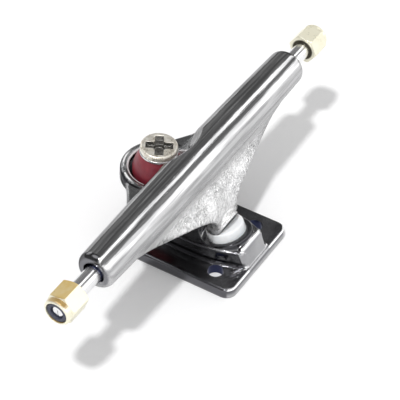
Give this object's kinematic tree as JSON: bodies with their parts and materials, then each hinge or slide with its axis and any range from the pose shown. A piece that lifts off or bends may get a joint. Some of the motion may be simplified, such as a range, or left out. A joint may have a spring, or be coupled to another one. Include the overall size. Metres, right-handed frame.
{
  "type": "miniature skateboard truck",
  "caption": "Miniature skateboard truck: cast hanger on a solid axle with lock nuts, steering in a pivot cup and soft bushings on a cast baseplate.",
  "frame": {"origin": "middle of the four mounting holes, on the baseplate's flat underside that lies against the deck", "axes": "+X along the axle, +Y from the pivot towards the kingpin, +Z away from the deck"},
  "size_m": [0.034, 0.0114, 0.009],
  "materials": {
    "base_metal": "dark nickel plate over a casting",
    "hanger_metal": "polished dark nickel plate over a casting",
    "axle_steel": "bright turned steel",
    "gold_plate": "pale gold plate",
    "dark_nylon": "satin dark blue nylon",
    "white_nylon": "satin white nylon",
    "screw_steel": "bright plated steel",
    "washer_steel": "bright plated steel",
    "red_urethane": "satin red urethane"
  },
  "bodies": {
    "base": {"baseplate": "base_metal", "pivot_cup": "white_nylon", "kingpin_nut": "screw_steel", "lower_washer": "washer_steel", "lower_bushing": "red_urethane", "top_bushing": "red_urethane", "top_washer": "washer_steel"},
    "hanger": {"hanger": "hanger_metal", "axle": "axle_steel"},
    "screw": {"kingpin_screw": "screw_steel"},
    "left_nut": {"axle_nut_left": "gold_plate", "nut_insert_left": "dark_nylon"},
    "right_nut": {"axle_nut_right": "gold_plate", "nut_insert_right": "dark_nylon"}
  },
  "joints": [
    {"name": "steer", "type": "hinge", "parent": "base", "child": "hanger", "pos_m": [0, -0.00264, 0.00267], "axis": [0, 0.9196, 0.3928], "range_deg": [-12, 12], "stiffness_Nm_per_rad": 0.012, "deforming": ["top_bushing", "lower_bushing"]},
    {"name": "kingpin_turn", "type": "hinge", "parent": "base", "child": "screw", "pos_m": [0, 0.00281, 0.00728], "axis": [0, -0.0698, 0.9976], "range_deg": [-180, 180]},
    {"name": "nut_left_off", "type": "slide", "parent": "hanger", "child": "left_nut", "axis": [-1, 0, 0], "range_m": [0, 0.012]},
    {"name": "nut_right_off", "type": "slide", "parent": "hanger", "child": "right_nut", "axis": [1, 0, 0], "range_m": [0, 0.012]}
  ]
}
